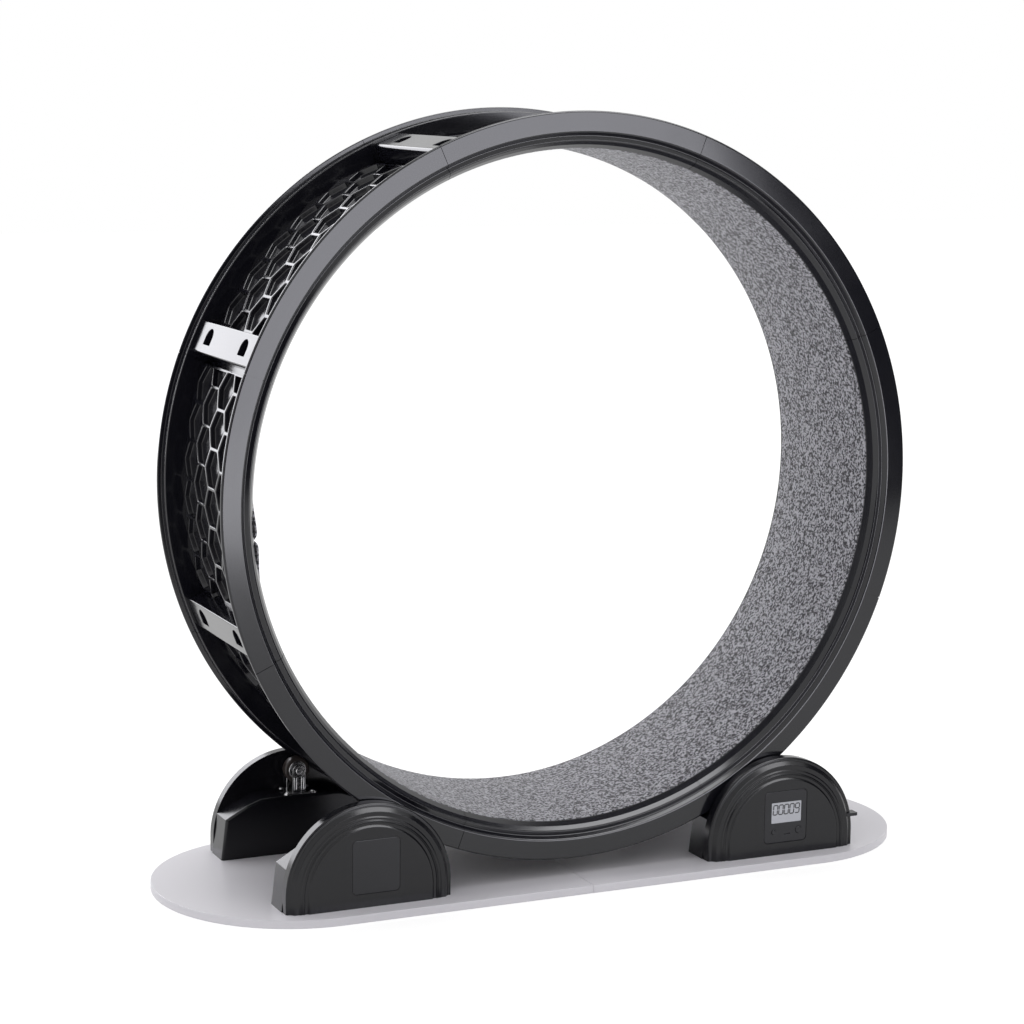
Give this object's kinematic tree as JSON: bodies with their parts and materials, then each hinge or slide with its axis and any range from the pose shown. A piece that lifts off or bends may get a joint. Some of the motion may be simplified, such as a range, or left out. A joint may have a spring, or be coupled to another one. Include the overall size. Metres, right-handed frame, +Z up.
{
  "type": "cat exercise wheel",
  "caption": "Large cat running wheel of honeycomb-ribbed black segments with a grey mat, turning on rollers in half-round housings on a pale stadium-shaped board",
  "frame": {"origin": "underside of the base board, at the middle of its length and depth", "axes": "+X along the board to the counter's end, +Y to the rear, +Z up; the wheel's axis is parallel to Y above the origin"},
  "size_m": [1.094, 0.384, 1.0337],
  "materials": {
    "board_laminate": "satin",
    "black_gloss": "gloss",
    "black_satin": "satin",
    "black_rubber": "matte",
    "roller_tyre": "satin",
    "bright_steel": "polished",
    "plated_steel": "satin",
    "display_glass": "gloss",
    "circuit_board": "satin",
    "grey_felt": "matte"
  },
  "bodies": {
    "base": {"base_board_left": "board_laminate", "base_board_right": "board_laminate", "joining_straps": "plated_steel", "housing_front_left": "black_gloss", "housing_front_right": "black_gloss", "housing_rear_left": "black_gloss", "housing_rear_right": "black_gloss", "blank_panel": "black_satin", "counter_case": "black_satin", "counter_display": "display_glass", "counter_circuit": "circuit_board", "lap_sensor": "black_satin", "roller_brackets": "bright_steel"},
    "wheel": {"wheel_segment_1": "black_gloss", "wheel_segment_2": "black_gloss", "wheel_segment_3": "black_gloss", "wheel_segment_4": "black_gloss", "wheel_segment_5": "black_gloss", "wheel_segment_6": "black_gloss", "wheel_segment_7": "black_gloss", "wheel_segment_8": "black_gloss", "running_mat": "grey_felt", "wheel_magnet": "plated_steel"},
    "roller_front_left": {"roller_front_left": "roller_tyre"},
    "roller_front_right": {"roller_front_right": "roller_tyre"},
    "roller_rear_left": {"roller_rear_left": "roller_tyre"},
    "roller_rear_right": {"roller_rear_right": "roller_tyre"},
    "mode_button": {"mode_button": "black_rubber"},
    "reset_button": {"reset_button": "black_rubber"},
    "lock_slide": {"lock_slide": "black_satin"}
  },
  "joints": [
    {"name": "wheel_spin", "type": "hinge", "parent": "base", "child": "wheel", "pos_m": [0, 0, 0.5338], "axis": [0, 1, 0], "continuous": true},
    {"name": "roller_front_left_spin", "type": "hinge", "parent": "base", "child": "roller_front_left", "pos_m": [-0.3075, -0.12475, 0.12343], "axis": [0, 1, 0], "continuous": true},
    {"name": "roller_front_right_spin", "type": "hinge", "parent": "base", "child": "roller_front_right", "pos_m": [0.3075, -0.12475, 0.12343], "axis": [0, 1, 0], "continuous": true},
    {"name": "roller_rear_left_spin", "type": "hinge", "parent": "base", "child": "roller_rear_left", "pos_m": [-0.3075, 0.12475, 0.12343], "axis": [0, 1, 0], "continuous": true},
    {"name": "roller_rear_right_spin", "type": "hinge", "parent": "base", "child": "roller_rear_right", "pos_m": [0.3075, 0.12475, 0.12343], "axis": [0, 1, 0], "continuous": true},
    {"name": "mode_button_press", "type": "slide", "parent": "base", "child": "mode_button", "axis": [0, 1, 0], "range_m": [0, 0.0008], "stiffness_N_per_m": 300},
    {"name": "reset_button_press", "type": "slide", "parent": "base", "child": "reset_button", "axis": [0, 1, 0], "range_m": [0, 0.0008], "stiffness_N_per_m": 300},
    {"name": "lock_slide_push", "type": "slide", "parent": "base", "child": "lock_slide", "axis": [-1, 0, 0], "range_m": [0, 0.006]}
  ],
  "couplings": [
    {"joint": "roller_front_left_spin", "follows": "wheel_spin", "ratio": -27.472},
    {"joint": "roller_front_right_spin", "follows": "wheel_spin", "ratio": -27.472},
    {"joint": "roller_rear_left_spin", "follows": "wheel_spin", "ratio": -27.472},
    {"joint": "roller_rear_right_spin", "follows": "wheel_spin", "ratio": -27.472}
  ]
}
